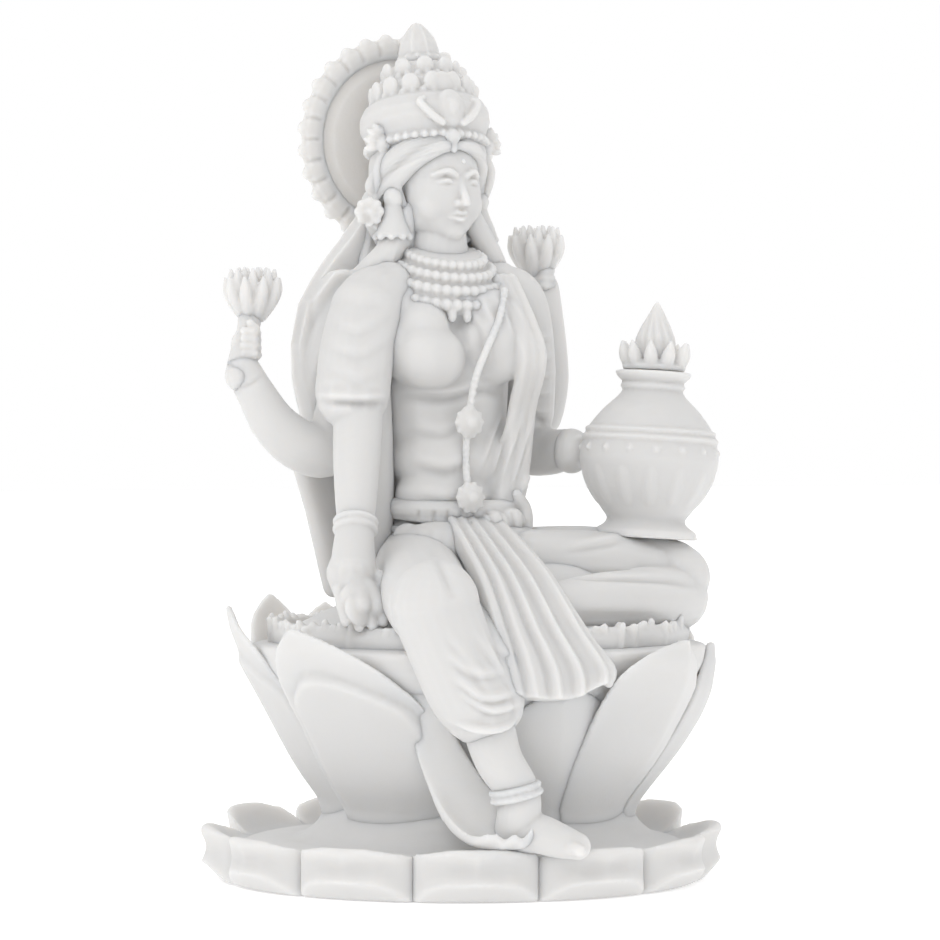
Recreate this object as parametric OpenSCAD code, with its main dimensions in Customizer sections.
// Seated four-armed goddess statuette on a lotus throne, with a lift-off pot.
// Millimetres, +Z up, origin at the bottom centre of the plinth. The figure faces -Y.
// Directions round the Z axis are degrees from -Y towards +X.

/* [Plinth] */
// Radius at the tips of the plinth petals
plinth_tip_r = 61.5; // [45:0.5:90]
// Radius of the round disc inside the plinth petals
plinth_disc_r = 49; // [35:0.5:75]
// Height of the plinth disc
plinth_h = 10; // [6:0.5:20]
// Height of the plinth petals at their tips
plinth_tip_z = 13; // [8:0.5:24]

/* [Throne] */
// Height of the throne cup from the plinth to the seed pod
throne_h = 39; // [25:1:60]
// Radius of the throne cup at its waist
throne_waist_r = 32; // [24:0.5:44]
// Radius of the throne cup under the seed pod
throne_top_r = 44; // [34:0.5:56]
// Radius at the tips of the throne petals
throne_tip_r = 59; // [50:0.5:80]
// Rise of the throne petal tips over the top of the cup
throne_tip_rise = 14; // [6:0.5:24]
// Thickness of a throne petal
throne_petal_t = 3.6; // [2:0.1:6]
// Sideways offset of the throne from the plinth's centre
throne_x = 3.6; // [-6:0.1:6]
// Forward offset of the throne from the plinth's centre
throne_y = -1.6; // [-6:0.1:6]
// Half width of the drooping foot petal
foot_petal_half_w = 8.5; // [5:0.5:12]

/* [Seat] */
// Radius of the seed pod that the figure sits on
pod_r = 46.4; // [38:0.5:58]
// Height of the seed pod
pod_h = 14.8; // [8:0.2:24]
// Radial thickness of the stamen fringe
fringe_t = 3; // [1.5:0.1:5]
// Height of the stamen fringe
fringe_h = 11; // [6:0.5:16]

/* [Figure] */
// Half width of the torso at the waist
waist_r = 15; // [11:0.5:20]
// Half width of the torso at the chest
chest_r = 16.5; // [12:0.5:21]
// Height of the waist seam over the seat
waist_z = 21; // [16:0.5:28]
// Height of the shoulders over the seat
shoulder_z = 71; // [60:0.5:85]
// Half width of the head
head_r = 11.5; // [9:0.5:14]
// Height of the middle of the head over the seat
head_z = 99; // [88:0.5:115]
// Thickness of the hair over the head
hair_t = 3.2; // [1.5:0.1:5]
// Radius of a forearm at the wrist
wrist_r = 4.2; // [3:0.1:5.5]
// Radius of a knee
knee_r = 8.6; // [6:0.1:11]
// Radius of the right ankle
ankle_r = 4.8; // [3.5:0.1:6.5]
// Thickness of the veil
veil_t = 5.6; // [3:0.1:8]
// Thickness of the pleated sari front
pleat_t = 4; // [2:0.1:6]

/* [Crown and halo] */
// Radius of the crown at its band
crown_r = 14.3; // [11:0.1:18]
// Height of the crown without its finial
crown_h = 20.5; // [12:0.5:28]
// Height of the crown finial
finial_h = 10.4; // [5:0.1:14]
// Radius of the halo disc
halo_disc_r = 21.6; // [16:0.1:28]
// Thickness of the halo disc
halo_t = 3; // [1.5:0.1:5]
// Radius of one halo tooth
halo_tooth_r = 2; // [1:0.1:3]

/* [Lotus flowers] */
// Radius of a held lotus flower
lotus_r = 7.2; // [5:0.1:10]
// Height of a held lotus flower
lotus_h = 8; // [5:0.1:12]

/* [Kalash] */
// Radius of the pot's belly
pot_r = 16.5; // [12:0.1:19]
// Radius of the pot's foot
pot_foot_r = 12; // [9:0.1:14]
// Height of the pot from its foot to its rim
pot_h = 39.5; // [30:0.5:50]
// Radius of the pot's neck
pot_neck_r = 7; // [5.5:0.1:9]
// Height of the coconut over the rim
coconut_h = 17; // [10:0.5:24]
// Radius of the locating peg under the pot
peg_r = 2.5; // [1.5:0.1:4]
// Length of the peg inside the pot
peg_l = 5; // [3:0.5:10]
// Radial running clearance of the pot on its peg
peg_clearance = 0.06; // [0.02:0.01:0.1]

// Lean of the pot away from the figure, in degrees
pot_lean = 3.5; // [0:0.5:6]

/* [Assembly] */
// Radius of the steel rod that ties the stack together
rod_r = 2.5; // [1.5:0.1:4]
// Radial clearance round the steel rod
rod_clearance = 0.05; // [0.02:0.01:0.2]
// Gap left for glue between two pieces
glue_gap = 0.12; // [0.05:0.01:0.3]

/* [Hidden] */

$fn = 64;
sculpt_fn = 16;    // spheres of the sculpted pieces
plinth_petals = 12;
plinth_petal_turn = 7.5;    // first plinth petal, degrees from the front
throne_petals = 11;
halo_teeth = 28;
stamens = 44;
stone = [0.93, 0.92, 0.90];
cloth = [0.90, 0.89, 0.87];
steel = [0.60, 0.62, 0.65];

cup_top = plinth_h + glue_gap + throne_h;
pod_bottom = cup_top + glue_gap;
seat = pod_bottom + pod_h;
throne_at = [throne_x, throne_y, 0];
rod_at = [1, 8, 0];
rod_top = seat + shoulder_z - 12;
petal_step = 360 / throne_petals;
pod_clear = 0.3;    // round pod against sculpted pieces
pot_seat_gap = 0.05;

// Places of the figure's joints, all but the right foot measured from the seat.
neck_at = [0, 12, seat + shoulder_z + 8];
head_at = [0, 14.5, seat + head_z];
head_turn = 10;
right_shoulder = [-20, 7, seat + shoulder_z];
right_elbow = [-26, 0, seat + 45];
right_wrist = [-32, -10, seat + 20];
right_palm = [-37, -20, seat + 5.6];
left_shoulder = [20, 13, seat + shoulder_z + 2];
left_elbow = [24.5, 16, seat + 36];
left_wrist = [29, 5, seat + 36.4];
left_palm = [30, 1.5, seat + 39];
right_rear_elbow = [-28, 12, seat + 35];
right_rear_bend = [-43, 14, seat + 40.5];
right_rear_wrist = [-50, 16, seat + 55.5];
right_lotus_at = [-45.2, 19, seat + 71];
left_rear_elbow = [31.5, 22, seat + 42];
left_rear_wrist = [32.5, 22, seat + 76];
left_lotus_at = [31, 22, seat + 82.5];
right_hip = [-11, 0, seat + 12];
right_knee = [-30, -48, seat + 2.5];
right_hem = [-20.5, -50.5, seat - 22];
right_ankle = [-12, -54, plinth_h + 14];
right_toes = [0.5, -61, plinth_h + 3.2];
left_hip = [13, 2, seat + 7.5];
left_knee = [46, -20, seat + 6.5];
left_ankle = [19, -36, seat + 2.5];
pot_at = [40.8, -15, seat + 15.6];
crown_at = [0, 19, seat + head_z + 9.5];
crown_lean = 11;
halo_at = [0, 36.2, seat + head_z + 12];

// ---------- helpers ----------

// One closed mesh from sculpted solids: zeros keep the size as it is.
module sculpt() {
    resize([0, 0, 0])
        children();
}

// Ball-ended segments through a list of points.
module chain(at, r, g = 0) {
    for (i = [0 : len(at) - 2]) {
        hull() {
            translate(at[i])
                sphere(r[i] + g, $fn = sculpt_fn);
            translate(at[i + 1])
                sphere(r[i + 1] + g, $fn = sculpt_fn);
        }
    }
}

module egg(at, r, g = 0) {
    translate(at)
        scale([r[0] + g, r[1] + g, r[2] + g])
            sphere(1, $fn = sculpt_fn);
}

// Upright leaf outline, tip up, from z = 0 to h, widest at the share belly_t of its height.
belly_t = 0.5;
function leaf(h, foot_w, belly_w, steps) = [
    for (i = [0 : steps])
        let (t = i / steps, s = (t - belly_t) / (1 - belly_t))
        [t < belly_t ? foot_w + (belly_w - foot_w) * sin(90 * t / belly_t)
            : belly_w * pow(1 - pow(s, 2.2), 0.8), h * t]
];

function mirrored(half) = concat(half, [for (i = [len(half) - 1 : -1 : 0]) [-half[i][0], half[i][1]]]);

// ---------- plinth and throne ----------

module rod_hole(z0, z1, clearance) {
    translate([rod_at[0], rod_at[1], z0])
        cylinder(h = z1 - z0, r = rod_r + clearance);
}

module plinth() {
    color(stone)
    difference() {
        rotate_extrude()
            polygon([[0, 0], [plinth_disc_r - 1, 0], [plinth_disc_r, 1.5], [plinth_disc_r, plinth_h - 2],
                [plinth_disc_r - 2.5, plinth_h], [0, plinth_h]]);
        rod_hole(3, plinth_h + 1, rod_clearance);
    }
}

// One side of a petal seen from above, from radius r0 to its tip at r1.
function plan_petal(r0, r1, half_deg, steps) = [
    for (i = [0 : steps])
        let (t = i / steps, r = r0 + (r1 - r0) * t, a = half_deg * pow(1 - pow(t, 2.2), 0.7))
        [r * sin(a), -r * cos(a)]
];

function other_side(half) = [for (i = [len(half) - 1 : -1 : 0]) [-half[i][0], half[i][1]]];

module plinth_petal(i) {
    root = plinth_disc_r + glue_gap;
    slot = 360 / plinth_petals;
    reach = plinth_tip_r - root;
    side = plan_petal(root + 0.3 * reach, plinth_tip_r + 0.1, slot / 2 - 0.3, 9);
    color(stone)
    rotate([0, 0, (i - 1) * slot + plinth_petal_turn])
    intersection() {
        rotate_extrude()
            polygon([[root, 0], [root + 0.62 * reach, 0], [root + 0.86 * reach, 0.2 * plinth_tip_z],
                [plinth_tip_r, 0.62 * plinth_tip_z], [plinth_tip_r, plinth_tip_z],
                [plinth_tip_r - 2, plinth_tip_z - 0.5], [root + 0.62 * reach, 0.74 * plinth_tip_z],
                [root + 0.25 * reach, 0.62 * plinth_tip_z], [root, 0.62 * plinth_tip_z]]);
        linear_extrude(height = plinth_tip_z + 1)
            polygon(concat([[0, 0]], side, other_side(side)));
    }
}

// Room that the plinth petals take, all the way round.
module petal_ring_room(g) {
    root = plinth_disc_r + glue_gap;
    reach = plinth_tip_r - root;
    rotate_extrude()
        polygon([[root - 1, 0], [plinth_tip_r + 1, 0], [plinth_tip_r + 1, plinth_tip_z + g],
            [plinth_tip_r - 2 - g, plinth_tip_z - 0.5 + g], [root + 0.62 * reach, 0.74 * plinth_tip_z + g],
            [root - 1, 0.62 * plinth_tip_z + g]]);
}

module throne_cup() {
    z0 = plinth_h + glue_gap;
    color(stone)
    difference() {
        translate(throne_at)
        rotate_extrude()
            polygon([[0, z0], [throne_waist_r, z0], [throne_waist_r, z0 + 0.2 * throne_h],
                [0.4 * throne_waist_r + 0.6 * throne_top_r, z0 + 0.66 * throne_h],
                [throne_top_r, cup_top], [0, cup_top]]);
        rod_hole(z0 - 1, cup_top + 1, rod_clearance);
    }
}

// Outer surface of the petals as shares: rise from the foot to the tip, flare from foot to tip.
wall_curve = [[0, 0.02], [0.16, 0.1], [0.35, 0.33], [0.55, 0.56], [0.75, 0.79], [0.9, 0.93], [1, 1]];

// Wall of the throne bowl that the petals are cut from; squash lowers it and keeps its flare.
module petal_wall(squash = 1) {
    z0 = plinth_h + 2;
    h = (cup_top + throne_tip_rise - z0) * squash;
    r0 = throne_waist_r + glue_gap;
    flare = throne_tip_r - throne_petal_t - r0;
    t = throne_petal_t;
    rotate_extrude()
        polygon(concat([for (c = wall_curve) [r0 + flare * c[1], z0 + h * c[0]]],
            [for (i = [len(wall_curve) - 1 : -1 : 0])
                let (c = wall_curve[i], at_tip = i == len(wall_curve) - 1)
                [r0 + flare * c[1] + t * (at_tip ? 0.5 : 1), z0 + h * c[0] - (i == 0 ? 1 : 0)]]));
}

// Height of each throne petal as a share of the full height, from the front round towards +X.
petal_heights = [1, 0.88, 0.85, 0.9, 0.95, 1, 1, 0.97, 1, 0.97];

// Petal k stands k steps round from the front; top says how much of its height is kept.
module throne_petal(k, top = 1) {
    z0 = plinth_h + 1;
    h = (cup_top + throne_tip_rise - z0) * petal_heights[k] * top;
    foot = throne_waist_r * sin(petal_step / 2) - 0.4;
    belly = (throne_tip_r - 6) * sin(petal_step / 2);
    color(stone)
    translate(throne_at)
    rotate([0, 0, k * petal_step])
    intersection() {
        petal_wall(petal_heights[k]);
        translate([0, 0, z0])
            rotate([90, 0, 0])
                linear_extrude(height = throne_tip_r + 2)
                    polygon(mirrored(leaf(h, foot, belly, 12)));
        linear_extrude(height = 2 * h + z0)
            polygon([[0, 0], [90 * tan(petal_step / 2 - 0.4), -90], [-90 * tan(petal_step / 2 - 0.4), -90]]);
    }
}

// The low inner row that closes the gaps between the outer petals.
module inner_petals() {
    z0 = cup_top - 14.5;
    r0 = throne_top_r - 4.6;
    color(stone)
    translate(throne_at)
    intersection() {
        rotate_extrude()
            polygon([[r0, z0], [r0 + 2.6, z0 + 5], [r0 + 7, z0 + 14.2], [r0 + 7.8, z0 + 17], [r0 + 9.2, z0 + 17],
                [r0 + 9, z0 + 14.2], [r0 + 4.6, z0 + 5], [r0 + 1.9, z0]]);
        union() {
            cylinder(h = z0 + 7, r = throne_tip_r);
            for (k = [0 : throne_petals - 1]) {
                rotate([0, 0, (k + 0.5) * petal_step])
                    translate([0, 0, z0])
                        rotate([90, 0, 0])
                            linear_extrude(height = throne_tip_r)
                                polygon(mirrored(leaf(17.5, 9, 9.5, 8)));
            }
        }
    }
}

module foot_petal() {
    z0 = plinth_h + 0.4;
    t = throne_petal_t - 0.6;
    color(stone)
    sculpt()
    difference() {
        translate(throne_at)
        rotate([0, 0, -petal_step])
        intersection() {
            rotate([90, 0, 90])
                linear_extrude(height = 2 * foot_petal_half_w, center = true)
                    polygon([[-throne_waist_r - 0.3, z0], [-50, z0], [-57, z0 + 1], [-61, z0 + 4],
                        [-59.5, z0 + 5.6], [-56, z0 + 4.2], [-51, z0 + 4.6 + t], [-47, z0 + 11 + t],
                        [-46, z0 + 23], [-49.6, z0 + 33], [-48, z0 + 34], [-43, z0 + 25],
                        [-39.5, z0 + 20], [-throne_waist_r - 0.3, z0 + 8]]);
            linear_extrude(height = 60)
                polygon(mirrored([[3, -30], [foot_petal_half_w * 0.85, -36], [foot_petal_half_w, -46],
                    [foot_petal_half_w * 0.8, -54], [foot_petal_half_w * 0.35, -60], [0, -62]]));
        }
        bowl_room(glue_gap);
        raw_right_leg(0.3);
        raw_right_foot(0.3);
        raw_anklet(0.2);
    }
}

// Room that the throne cup and the inner petals take.
module bowl_room(g) {
    z0 = cup_top - 14.5;
    translate(throne_at)
        rotate_extrude()
            polygon([[0, plinth_h], [throne_waist_r + g, plinth_h], [throne_waist_r + g, plinth_h + 0.2 * throne_h],
                [0.4 * throne_waist_r + 0.6 * throne_top_r + g, z0 - g - 0.1], [throne_top_r - 2.7 + g, z0 - g],
                [throne_top_r + g, z0 + 5], [throne_top_r + 4.4 + g, z0 + 14.2],
                [throne_top_r + 4.6 + g, z0 + 17 + g], [0, z0 + 17 + g]]);
}

// ---------- seat ----------

module pod_solid(g = 0) {
    translate(throne_at + [0, 0, pod_bottom])
    rotate_extrude()
        polygon([[0, 0], [throne_top_r - 0.5 + g, 0], [pod_r + g, 0.35 * pod_h], [pod_r + g, 0.58 * pod_h],
            [pod_r - 3 + g, 0.68 * pod_h + g], [0.72 * pod_r + g, pod_h + g], [0, pod_h + g]]);
}

module seed_pod() {
    color(stone)
    difference() {
        pod_solid();
        rod_hole(pod_bottom - 1, seat + 1, rod_clearance);
    }
}

module fringe_solid(g = 0) {
    z0 = pod_bottom + 0.25 * pod_h;
    inner = pod_r + glue_gap + pod_clear - g;
    outer = pod_r + glue_gap + fringe_t + g;
    translate(throne_at)
    difference() {
        union() {
            translate([0, 0, z0])
                cylinder(h = fringe_h * 0.6 + g, r = outer);
            for (i = [0 : stamens - 1]) {
                rotate([0, 0, i * 360 / stamens])
                    translate([-1.7, -outer, z0])
                        cube([3.4, 4 + g, fringe_h * (0.86 + 0.14 * sin(i * 137)) + g]);
            }
        }
        translate([0, 0, z0 - 1])
            cylinder(h = fringe_h + 4, r = inner);
    }
}

module stamen_fringe() {
    color(stone)
    sculpt()
    difference() {
        fringe_solid();
        raw_right_leg(0.3);
        raw_left_leg(0.3);
        raw_right_hand(0.3);
        raw_pleats(0.2);
    }
}

module core_rod() {
    color(steel)
    translate([rod_at[0], rod_at[1], 3.2])
        cylinder(h = rod_top - 0.6 - 3.2, r = rod_r);
}

// Clearance for the rod in sculpted pieces, whose round holes are many-sided.
module rod_bore() {
    translate([rod_at[0], rod_at[1], seat - 1])
        cylinder(h = rod_top - seat + 1, r = rod_r + rod_clearance + 0.12, $fn = 32);
}

// ---------- body ----------

module raw_torso(g = 0) {
    w = waist_r;
    c = chest_r;
    hull() {
        egg([1, 9, seat + waist_z], [w, 0.74 * w, 9], g);
        egg([0, 9, seat + 41], [w + 0.5, 0.76 * w, 8], g);
    }
    hull() {
        egg([0, 9, seat + 41], [w + 0.5, 0.76 * w, 8], g);
        egg([0, 9, seat + 58], [c, 0.74 * c, 9], g);
    }
    hull() {
        egg([0, 9, seat + 59], [c, 0.74 * c, 9], g);
        egg([-14, 8, seat + shoulder_z], [7, 7, 6], g);
        egg([15, 12, seat + shoulder_z + 1], [7, 7, 6], g);
    }
    egg([-8, -2.2, seat + 58], [7.4, 7, 7.2], g);
    egg([8.5, -1.2, seat + 59], [7.4, 7, 7.2], g);
}

module torso() {
    color(stone)
    sculpt()
    difference() {
        raw_torso();
        translate([-60, -60, 0])
            cube([120, 120, seat + waist_z]);
        rod_bore();
    }
}

module raw_hips(g = 0) {
    hull() {
        egg([-9, 7, seat + 9], [13, 13, 11], g);
        egg([11, 7, seat + 9], [13, 13, 11], g);
        egg([1, 9, seat + waist_z], [waist_r + 0.8, 0.78 * waist_r, 6], g);
    }
}

module skirt() {
    color(cloth)
    sculpt()
    difference() {
        raw_hips();
        translate([-60, -60, seat + waist_z - glue_gap])
            cube([120, 120, 60]);
        translate([-60, -60, 0])
            cube([120, 120, seat + glue_gap]);
        rod_bore();
    }
}

module raw_belt(g = 0) {
    translate([1, 9, seat + waist_z - 4.5 - g])
        scale([(waist_r + 3 + g) / 10, (0.78 * waist_r + 3.4 + g) / 10, 1])
            cylinder(h = 6 + 2 * g, r = 10, $fn = 40);
}

module belt() {
    color(stone)
    sculpt()
    difference() {
        raw_belt();
        raw_torso(glue_gap);
        raw_hips(glue_gap);
        raw_right_leg(glue_gap);
    }
}

// The cord down the front with its two round medallions.
module raw_garland(g = 0) {
    top = [2, -6, seat + 62];
    middle = [-1.5, -4.6, seat + 43];
    low = [-2, -5.6, seat + 25.5];
    chain([[9, -0.5, seat + 73], top, [-1, -7, seat + 52], middle, [-2, -4.4, seat + 34], low],
        [1.8, 1.7, 1.7, 1.7, 1.7, 1.7], g);
    for (p = [middle, low]) {
        translate(p)
            rotate([90, 0, 0])
                cylinder(h = 4 + 2 * g, r = 3.4 + g, center = true, $fn = 20);
    }
}

module garland() {
    color(stone)
    sculpt()
    difference() {
        raw_garland();
        raw_torso(glue_gap);
        raw_hips(glue_gap);
        raw_belt(glue_gap);
        raw_necklace(glue_gap);
    }
}

module raw_necklace(g = 0) {
    translate(neck_at + [0, -2.5, -1.5])
        rotate([18, 0, 0])
            rotate_extrude($fn = 40)
                translate([9.2, 0])
                    circle(2.2 + g, $fn = 14);
}

module necklace() {
    color(stone)
    sculpt()
    difference() {
        raw_necklace();
        raw_torso(glue_gap);
        raw_head(glue_gap);
        raw_veil(glue_gap);
    }
}

// ---------- head ----------

module raw_head(g = 0) {
    translate(head_at)
    rotate([0, 0, head_turn]) {
        hull() {
            egg([0, 0.5, 2], [head_r, 1.1 * head_r, 1.05 * head_r], g);
            egg([0, -4.5, -9], [0.48 * head_r, 0.46 * head_r, 0.42 * head_r], g);
        }
    }
    chain([neck_at - [0, 0, 3], [0, 15, seat + head_z - 6]], [6.6, 6.2], g);
}

module head() {
    color(stone)
    sculpt()
    difference() {
        raw_head();
        raw_torso(glue_gap);
    }
}

module raw_hair(g = 0) {
    translate(head_at)
    difference() {
        hull() {
            egg([0, 3, 3], [head_r + hair_t, 1.1 * head_r + hair_t, 1.05 * head_r + hair_t], g);
            egg([0, 8, -9], [0.95 * head_r, 0.6 * head_r, 0.6 * head_r], g);
        }
        rotate([0, 0, head_turn])
            translate([-30, -30 - 2.5 - g, -40])
                cube([60, 30, 60]);
    }
}

module hair() {
    color(stone)
    sculpt()
    difference() {
        raw_hair();
        raw_head(glue_gap);
        raw_torso(glue_gap);
    }
}

// Rows of the veil from the head to the seat: right edge x, left edge x, y, z over the seat.
veil_rows = [[-10, 9, 27, 98], [-23, 15, 24, 86], [-32, 20, 22, 70], [-36, 21, 23, 47],
    [-27, 18, 26, 22], [-22, 15, 27, 4]];

module raw_veil(g = 0) {
    r = veil_t / 2;
    for (i = [0 : len(veil_rows) - 2]) {
        hull() {
            for (row = [veil_rows[i], veil_rows[i + 1]]) {
                translate([row[0], row[2] - 3, seat + row[3]])
                    sphere(r + g, $fn = sculpt_fn);
                translate([(row[0] + row[1]) / 2, row[2] + 1.5, seat + row[3]])
                    sphere(r + g, $fn = sculpt_fn);
                translate([row[1], row[2] - 3, seat + row[3]])
                    sphere(r + g, $fn = sculpt_fn);
            }
        }
    }
}

module veil() {
    color(cloth)
    sculpt()
    difference() {
        raw_veil();
        raw_belt(glue_gap);
        raw_torso(glue_gap);
        raw_hips(glue_gap);
        raw_head(glue_gap);
        raw_hair(glue_gap);
        raw_right_arm(glue_gap);
        raw_left_arm(glue_gap);
        raw_right_rear_arm(glue_gap);
        raw_left_rear_arm(glue_gap);
        raw_halo(glue_gap);
        translate([-60, -60, 0])
            cube([120, 120, seat + glue_gap]);
    }
}

// ---------- crown, halo, ornaments ----------

function crown_profile() = [[0, 0], [crown_r - 0.6, 0], [crown_r, 0.12 * crown_h],
    [crown_r - 0.8, 0.26 * crown_h],
    [0.86 * crown_r, 0.34 * crown_h], [0.88 * crown_r, 0.46 * crown_h], [0.68 * crown_r, 0.54 * crown_h],
    [0.7 * crown_r, 0.68 * crown_h], [0.5 * crown_r, 0.76 * crown_h], [0.51 * crown_r, 0.88 * crown_h],
    [0.34 * crown_r, crown_h], [0, crown_h]];

module raw_crown(g = 0) {
    translate(crown_at)
        rotate([-crown_lean, 0, 0])
            rotate_extrude($fn = 40)
                polygon([for (p = crown_profile()) [p[0] == 0 ? 0 : p[0] + g, p[1] + (p[1] > 0 ? g : -g)]]);
}

module crown() {
    color(stone)
    sculpt()
    difference() {
        raw_crown();
        raw_head(glue_gap);
        raw_hair(glue_gap);
    }
}

module crown_finial() {
    r = 0.34 * crown_r;
    color(stone)
    translate(crown_at)
        rotate([-crown_lean, 0, 0])
            translate([0, 0, crown_h + glue_gap])
                rotate_extrude()
                    polygon([[0, 0], [0.8 * r, 0], [r, 0.16 * finial_h], [0.72 * r, 0.34 * finial_h],
                        [0.5 * r, 0.42 * finial_h], [0.6 * r, 0.55 * finial_h], [0.3 * r, 0.8 * finial_h],
                        [0, finial_h]]);
}

module crown_fans() {
    color(stone)
    sculpt()
    difference() {
        for (side = [-1, 1]) {
            translate([side * (crown_r + 1.2), crown_at[1] - 3, crown_at[2] + 0.5])
                rotate([90, 0, 0])
                    for (a = [-2 : 2]) {
                        rotate([0, 0, 90 - side * 90 + a * 24])
                            translate([2.2, 0, 0])
                                cylinder(h = 3, r1 = 1.9, r2 = 1.5, center = true, $fn = 14);
                    }
        }
        raw_crown(glue_gap);
        raw_hair(glue_gap);
        raw_head(glue_gap);
    }
}

module raw_halo(g = 0) {
    translate(halo_at)
        rotate([90, 0, 0])
            cylinder(h = halo_t + 2 * g, r = halo_disc_r + 4.5 + g, center = true, $fn = 72);
}

module halo_disc() {
    color(stone)
    sculpt()
    difference() {
        translate(halo_at)
            rotate([90, 0, 0]) {
                cylinder(h = halo_t - 1, r = halo_disc_r, center = true, $fn = 64);
                cylinder(h = halo_t, r = 0.6 * halo_disc_r, center = true, $fn = 64);
            }
        raw_hair(glue_gap);
        raw_crown(glue_gap);
    }
}

module halo_rim() {
    inner = halo_disc_r + glue_gap + 0.05;
    pitch_r = inner + halo_tooth_r + 0.4;
    color(stone)
    translate(halo_at)
        rotate([90, 0, 0])
            difference() {
                union() {
                    cylinder(h = halo_t, r = pitch_r, center = true);
                    for (i = [0 : halo_teeth - 1]) {
                        rotate([0, 0, i * 360 / halo_teeth])
                            translate([pitch_r, 0, 0])
                                cylinder(h = halo_t - 0.6, r = halo_tooth_r, center = true);
                    }
                }
                cylinder(h = halo_t + 2, r = inner, center = true);
            }
}

module earrings() {
    color(stone)
    sculpt()
    difference() {
        for (side = [-1, 1]) {
            translate(head_at)
                rotate([0, 0, head_turn])
                    translate([side * (head_r + 1.6), 0.5, -4])
                        rotate_extrude($fn = 24)
                            polygon([[0, 3.5], [1.4, 3], [1.6, 1], [2.2, -1], [3.3, -6], [2.6, -7.4], [0, -8]]);
        }
        raw_head(glue_gap);
        raw_hair(glue_gap);
        raw_torso(glue_gap);
        raw_veil(glue_gap);
        raw_right_arm(glue_gap);
        raw_left_arm(glue_gap);
        raw_necklace(glue_gap);
    }
}

// ---------- arms and hands ----------

module raw_right_arm(g = 0) {
    chain([right_shoulder, right_elbow + [-1.5, 1, 3]], [9.2, 9], g);
    chain([right_elbow, right_wrist], [5.6, wrist_r], g);
}

module raw_left_arm(g = 0) {
    chain([left_shoulder, left_elbow + [0, 0, 6]], [8, 6.8], g);
    chain([left_elbow, left_wrist], [6.4, wrist_r + 0.8], g);
}

module raw_right_rear_arm(g = 0) {
    chain([right_shoulder + [1, 6, -2], right_rear_elbow, right_rear_bend, right_rear_wrist],
        [6, 6.4, 5.4, wrist_r], g);
}

module raw_left_rear_arm(g = 0) {
    chain([left_shoulder + [1, 6, -3], left_rear_elbow, left_rear_elbow + [3, 0, 18], left_rear_wrist],
        [6, 5.6, 5.2, wrist_r], g);
}

module raw_right_hand(g = 0) {
    chain([right_wrist + [-1, -2.5, -4], right_palm + [0, 3, 3], right_palm], [3.8, 5, 5], g);
    chain([right_palm, right_palm + [-1.5, -7, -4]], [4.6, 2.6], g);
    chain([right_palm, right_palm + [2.5, -7, -4]], [4.6, 2.6], g);
    chain([right_palm + [3, 2, 2], right_palm + [7, -3, 1]], [2.6, 1.9], g);
}

module raw_left_hand(g = 0) {
    chain([left_wrist + [0.6, -3, 2.5], left_palm, left_palm + [3, -1.5, 7]], [3.8, 4, 2.6], g);
}

module lotus_hand(wrist, lotus_at, side, g = 0) {
    chain([wrist + [0, 0.3, 3.6], lotus_at - [0, 0.5, 7.5]], [3.8, 4.2], g);
    chain([lotus_at - [0, 0.5, 7.5], lotus_at - [2.4 * side, 0.5, 1.5]], [3.4, 1.7], g);
    chain([lotus_at - [0, 0.5, 7.5], lotus_at - [-2.4 * side, 0.5, 1.5]], [3.4, 1.7], g);
    chain([lotus_at - [0, 0, 8], lotus_at - [0, 3, 1.5]], [3.4, 1.7], g);
}

// The pot's own axis, leaning a little outwards.
module at_pot() {
    translate(pot_at)
        rotate([0, pot_lean, 0])
            children();
}

// Room that the pot needs on its way up.
module pot_path() {
    at_pot() {
        translate([0, 0, 1.8])
            cylinder(h = 90, r = pot_r + 0.6, $fn = 72);
        translate([0, 0, -pot_seat_gap])
            cylinder(h = 90, r = pot_foot_r + 0.4, $fn = 72);
    }
}

module right_front_arm() {
    color(cloth)
    sculpt()
    difference() {
        raw_right_arm();
        raw_torso(glue_gap);
        raw_hips(glue_gap);
        raw_head(glue_gap);
    }
}

module left_front_arm() {
    color(cloth)
    sculpt()
    difference() {
        raw_left_arm();
        raw_torso(glue_gap);
        raw_hips(glue_gap);
        raw_head(glue_gap);
        pot_path();
    }
}

module right_rear_arm() {
    color(stone)
    sculpt()
    difference() {
        raw_right_rear_arm();
        raw_torso(glue_gap);
        raw_hips(glue_gap);
        raw_right_arm(glue_gap);
    }
}

module left_rear_arm() {
    color(stone)
    sculpt()
    difference() {
        raw_left_rear_arm();
        lotus_solid(left_lotus_at, glue_gap);
        raw_torso(glue_gap);
        raw_left_arm(glue_gap);
        pot_path();
    }
}

module right_front_hand() {
    color(stone)
    sculpt()
    difference() {
        raw_right_hand();
        raw_right_arm(glue_gap);
        raw_hips(glue_gap);
        raw_right_leg(glue_gap);
        pod_solid(pod_clear);
    }
}

module left_front_hand() {
    color(stone)
    sculpt()
    difference() {
        raw_left_hand();
        raw_left_arm(glue_gap);
        pot_path();
    }
}

module right_rear_hand() {
    color(stone)
    sculpt()
    difference() {
        lotus_hand(right_rear_wrist, right_lotus_at, 1);
        raw_right_rear_arm(glue_gap);
        lotus_solid(right_lotus_at, glue_gap);
    }
}

module left_rear_hand() {
    color(stone)
    sculpt()
    difference() {
        lotus_hand(left_rear_wrist, left_lotus_at, 1);
        raw_left_rear_arm(glue_gap);
        lotus_solid(left_lotus_at, glue_gap);
    }
}

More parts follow.
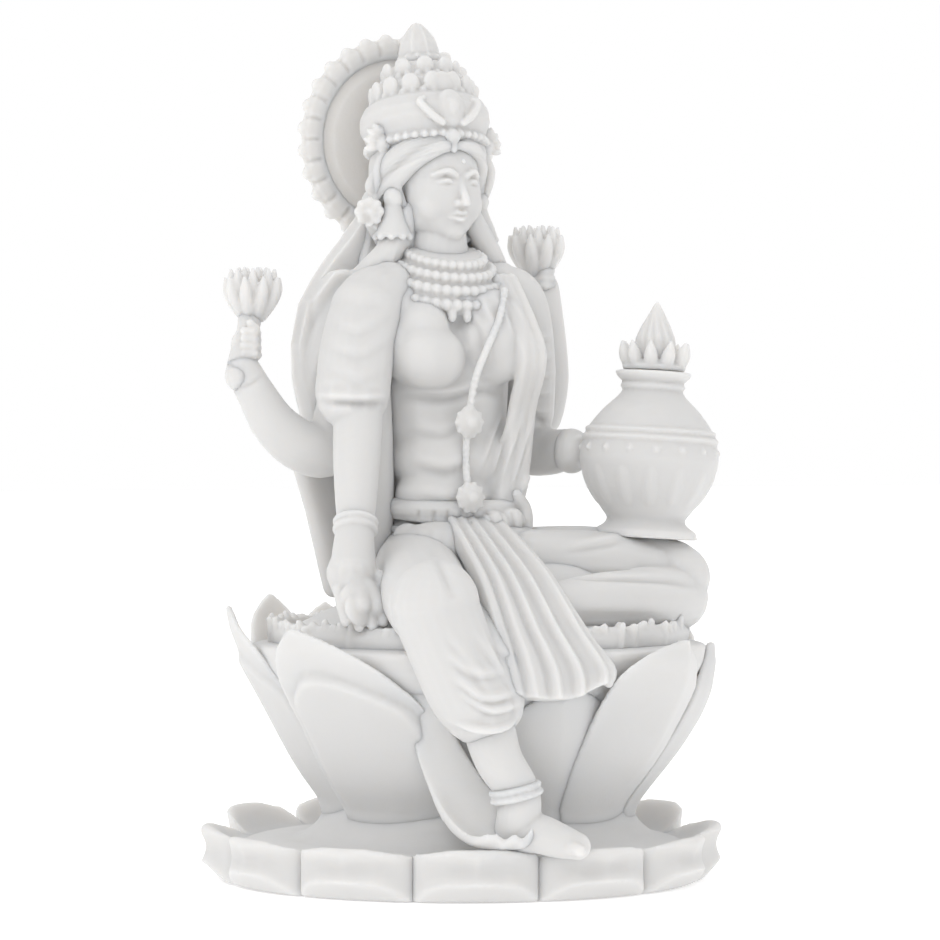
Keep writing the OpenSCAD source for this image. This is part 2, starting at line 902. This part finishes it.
module lotus_solid(at, g = 0) {
    translate(at - [0, 0, 4])
    rotate_extrude($fn = 40)
        polygon([[0, -g], [2.2 + g, -g], [2.4 + g, 0.3 * lotus_h], [0.62 * lotus_r + g, 0.5 * lotus_h],
            [lotus_r + g, lotus_h + 4 + g], [0.78 * lotus_r, lotus_h + 4 + g], [0.5 * lotus_r, 0.75 * lotus_h + g],
            [0, 0.75 * lotus_h + g]]);
}

module right_lotus() {
    color(stone)
    lotus_solid(right_lotus_at);
}

module left_lotus() {
    color(stone)
    lotus_solid(left_lotus_at);
}

// ---------- legs ----------

module raw_right_leg(g = 0) {
    chain([right_hip, right_knee, right_hem + [-3, 1, 6], right_hem],
        [12, knee_r + 1.4, knee_r + 0.6, knee_r - 0.6], g);
}

module raw_right_foot(g = 0) {
    middle = (right_ankle + right_toes) / 2 + [0, 0, -1];
    intersection() {
        union() {
            chain([right_hem + [1.5, -0.5, -2], right_ankle, right_ankle + [0, 0.5, -4.5],
                right_ankle + [-0.5, 2, -9.5]], [6, ankle_r, 4.6, 4.6], g);
            chain([right_ankle + [0, 0, -5], middle], [4.6, 4.6], g);
            hull() {
                translate(middle)
                    sphere(4.6 + g, $fn = sculpt_fn);
                for (s = [-2.6, 2.6]) {
                    translate(right_toes + [s, s * 0.4, 0])
                        sphere(2.6 + g, $fn = sculpt_fn);
                }
            }
        }
        translate([-60, -90, plinth_h + glue_gap])
            cube([120, 120, 60]);
    }
}

module raw_anklet(g = 0) {
    translate(right_ankle + [0, 0, -1.2])
        rotate([8, 0, 0])
            rotate_extrude($fn = 32)
                translate([ankle_r + 0.4, 0])
                    circle(1.5 + g, $fn = 14);
}

module right_leg() {
    color(cloth)
    sculpt()
    difference() {
        raw_right_leg();
        raw_hips(glue_gap);
        raw_torso(glue_gap);
        bowl_room(glue_gap);
        pod_solid(pod_clear);
    }
}

module right_foot() {
    color(stone)
    sculpt()
    difference() {
        raw_right_foot();
        raw_right_leg(glue_gap);
        petal_ring_room(glue_gap);
    }
}

module anklet() {
    color(stone)
    sculpt()
    difference() {
        raw_anklet();
        raw_right_foot(glue_gap);
    }
}

module raw_left_leg(g = 0) {
    chain([left_hip, left_knee], [9.6, knee_r - 0.2], g);
    chain([left_knee - [0, 0, 3.5], left_ankle], [knee_r - 1, 6.4], g);
}

module left_leg() {
    color(cloth)
    sculpt()
    difference() {
        raw_left_leg();
        raw_hips(glue_gap);
        raw_right_leg(glue_gap);
        pod_solid(pod_clear);
        pot_path();
        at_pot()
            translate([0, 0, -peg_l - 1.2])
                cylinder(h = peg_l + 2, r = peg_r + 0.2, $fn = 32);
    }
}

module raw_left_foot(g = 0) {
    chain([left_ankle + [-3, 0.5, -0.5], left_ankle + [-10, 2, -1], left_ankle + [-18, 5, -2]],
        [5.4, 4.8, 3.4], g);
}

module left_foot() {
    color(stone)
    sculpt()
    difference() {
        raw_left_foot();
        raw_left_leg(glue_gap);
        raw_right_leg(glue_gap);
        raw_hips(glue_gap);
        pod_solid(pod_clear);
    }
}

// Sari front: right x, left x, y, z over the seat, from the belt to the hem.
pleat_rows = [[-3, 8.5, -5, 17], [-6.5, 8, -20, 14.5], [-11, 6.5, -38, 11], [-14, 6, -50, 3],
    [-14, 9, -53.2, -9], [-14, 8, -53.2, -18]];

module raw_pleats(g = 0) {
    r = pleat_t / 2;
    for (i = [0 : len(pleat_rows) - 2]) {
        hull() {
            for (row = [pleat_rows[i], pleat_rows[i + 1]]) {
                for (x = [row[0] + r, row[1] - r]) {
                    translate([x, row[2], seat + row[3]])
                        sphere(r + g, $fn = sculpt_fn);
                }
            }
        }
    }
}

module front_pleats() {
    color(cloth)
    sculpt()
    difference() {
        raw_pleats();
        raw_hips(glue_gap);
        raw_belt(glue_gap);
        raw_garland(glue_gap);
        raw_right_leg(glue_gap);
        raw_left_leg(glue_gap);
        raw_left_foot(glue_gap);
        pod_solid(pod_clear);
    }
}

// ---------- kalash ----------

module kalash_peg() {
    color(steel)
    at_pot()
        translate([0, 0, -peg_l - 1])
            cylinder(h = 2 * peg_l + 1, r = peg_r);
}

module kalash_pot() {
    belly_z = 0.43 * pot_h;
    belly_h = 0.33 * pot_h;
    neck_z = 0.83 * pot_h;
    color(stone)
    at_pot()
    difference() {
        rotate_extrude()
            polygon(concat([[0, 0], [pot_foot_r, 0], [pot_foot_r, 1.5], [0.78 * pot_foot_r, 0.1 * pot_h]],
                [for (a = [-56 : 8 : 0]) [pot_r * cos(a), belly_z + belly_h * sin(a)]],
                [for (t = [0.12 : 0.11 : 1])
                    [pot_r - (pot_r - pot_neck_r) * (1 - cos(180 * t)) / 2,
                        belly_z + (neck_z - belly_z) * pow(t, 0.85)]],
                [[pot_neck_r, 0.87 * pot_h], [pot_neck_r + 1, 0.89 * pot_h],
                    [pot_neck_r + 1.1, 0.95 * pot_h], [pot_neck_r + 0.4, pot_h], [0, pot_h]]));
        translate([0, 0, -1])
            cylinder(h = peg_l + 1.4, r = peg_r + peg_clearance);
    }
}

module kalash_leaves() {
    inner = pot_neck_r - 2;
    color(stone)
    at_pot()
    translate([0, 0, pot_h + glue_gap])
    rotate_extrude()
        polygon([[inner + 0.2, 0], [pot_neck_r - 0.6, 0], [pot_neck_r - 0.2, 0.2 * coconut_h],
            [pot_neck_r + 0.7, 0.38 * coconut_h], [pot_neck_r - 0.5, 0.42 * coconut_h],
            [inner + 0.6, 0.3 * coconut_h], [inner + 0.2, 0.2 * coconut_h]]);
}

module coconut() {
    r = pot_neck_r - 2;
    color(stone)
    at_pot()
    translate([0, 0, pot_h + glue_gap])
    rotate_extrude()
        polygon([[0, 0], [r, 0], [r, 0.3 * coconut_h], [0.96 * r, 0.45 * coconut_h], [0.72 * r, 0.62 * coconut_h],
            [0.4 * r, 0.8 * coconut_h], [0, coconut_h]]);
}

// ---------- nodes ----------

plinth();
for (i = [1 : plinth_petals])
    plinth_petal(i);
throne_cup();
// Petal 1 stands at the front under the sari hem; petal 11's place holds the drooping foot petal.
for (i = [1 : throne_petals - 1])
    throne_petal(i - 1, i == 1 ? 0.62 : 1);
foot_petal();
inner_petals();
seed_pod();
stamen_fringe();
core_rod();
torso();
skirt();
belt();
garland();
necklace();
head();
hair();
veil();
crown();
crown_finial();
crown_fans();
halo_disc();
halo_rim();
earrings();
right_front_arm();
right_front_hand();
left_front_arm();
left_front_hand();
right_rear_arm();
right_rear_hand();
left_rear_arm();
left_rear_hand();
right_lotus();
left_lotus();
right_leg();
right_foot();
anklet();
left_leg();
left_foot();
front_pleats();
kalash_peg();
kalash_pot();
kalash_leaves();
coconut();
